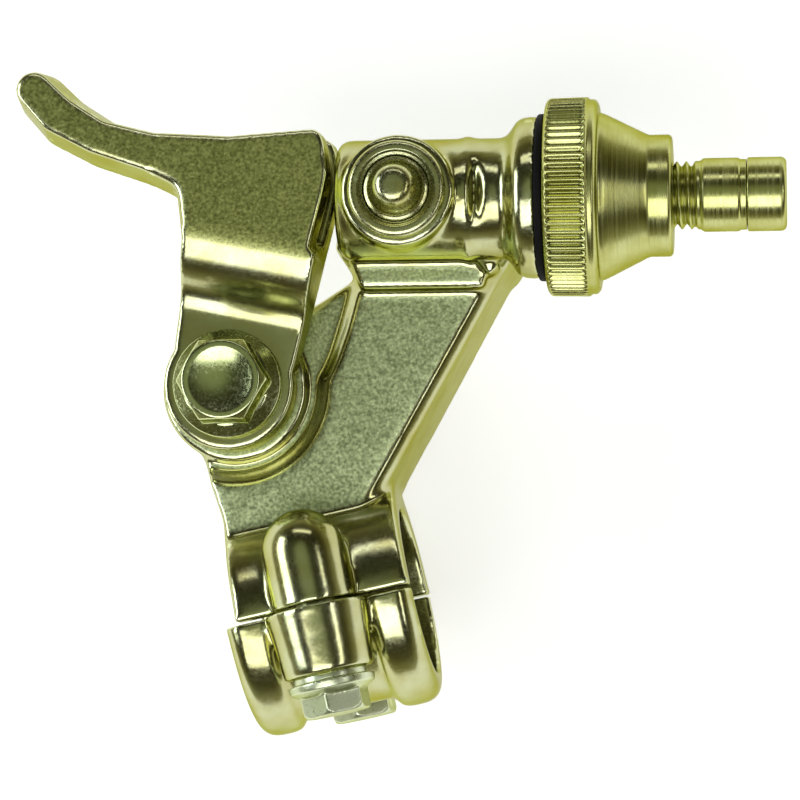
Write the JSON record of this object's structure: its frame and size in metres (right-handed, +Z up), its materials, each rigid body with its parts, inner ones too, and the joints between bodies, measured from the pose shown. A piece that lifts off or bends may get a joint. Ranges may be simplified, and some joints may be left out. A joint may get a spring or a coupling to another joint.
{
  "type": "thumb shifter",
  "caption": "Bright cast handlebar perch with a two-piece clamp, a short thumb lever on a hex pivot bolt, a spring button and a knurled cable adjuster with a threaded barrel.",
  "frame": {"origin": "centre of the handlebar clamp's bore", "axes": "+X along the handlebar towards the cable adjuster, +Y forward from the bar to the lever, +Z up along the lever's pivot towards the rider's eye"},
  "size_m": [0.0969, 0.0923, 0.0502],
  "materials": {
    "cast_plated": "bright plated casting with a rough-cast front face",
    "lever_plated": "bright plated, satin on the flat top",
    "turned_plated": "turned and plated",
    "bolt_zinc": "bright zinc",
    "bolt_yellow_zinc": "yellow zinc",
    "spring_steel": "oiled spring steel",
    "rubber": "matt black rubber",
    "nylon": "natural nylon",
    "bronze": "sintered bronze"
  },
  "bodies": {
    "perch": {"perch_body": "cast_plated", "clamp_cap": "cast_plated", "clamp_bolts": "bolt_zinc", "clamp_washers": "bolt_zinc", "thrust_washer": "nylon", "wave_washer": "spring_steel", "pivot_bolt": "bolt_yellow_zinc", "pivot_nut": "bolt_zinc", "pivot_nut_washer": "bolt_zinc", "return_spring": "spring_steel", "button_bezel": "turned_plated", "button_spring": "spring_steel", "rubber_washer": "rubber", "wheel_snap_ring": "spring_steel", "barrel_key": "spring_steel"},
    "lever": {"thumb_lever": "lever_plated", "lever_bush": "bronze"},
    "wheel": {"adjuster_wheel": "turned_plated"},
    "barrel": {"adjuster_barrel": "turned_plated", "barrel_liner": "nylon", "barrel_end_cap": "turned_plated"},
    "button": {"lock_button": "turned_plated", "button_clip": "spring_steel"}
  },
  "joints": [
    {"name": "lever_swing", "type": "hinge", "parent": "perch", "child": "lever", "pos_m": [-0.0052, 0.031, 0.0114], "axis": [0, 0, 1], "range_deg": [0, 35], "stiffness_Nm_per_rad": 0.2, "springref_deg": -11.46, "deforming": ["return_spring"]},
    {"name": "wheel_turn", "type": "hinge", "parent": "perch", "child": "wheel", "pos_m": [0.0411, 0.04535, 0.014], "axis": [0.9763, -0.2164, 0], "range_deg": [-1152, 720]},
    {"name": "barrel_slide", "type": "slide", "parent": "perch", "child": "barrel", "axis": [0.9763, -0.2164, 0], "range_m": [-0.0026, 0.0041]},
    {"name": "button_press", "type": "slide", "parent": "perch", "child": "button", "axis": [0, 0, -1], "range_m": [0, 0.0018], "stiffness_N_per_m": 400, "springref_m": -0.001, "deforming": ["button_spring"]}
  ],
  "couplings": [
    {"joint": "barrel_slide", "follows": "wheel_turn", "m_per_rad": -0.00019894}
  ]
}
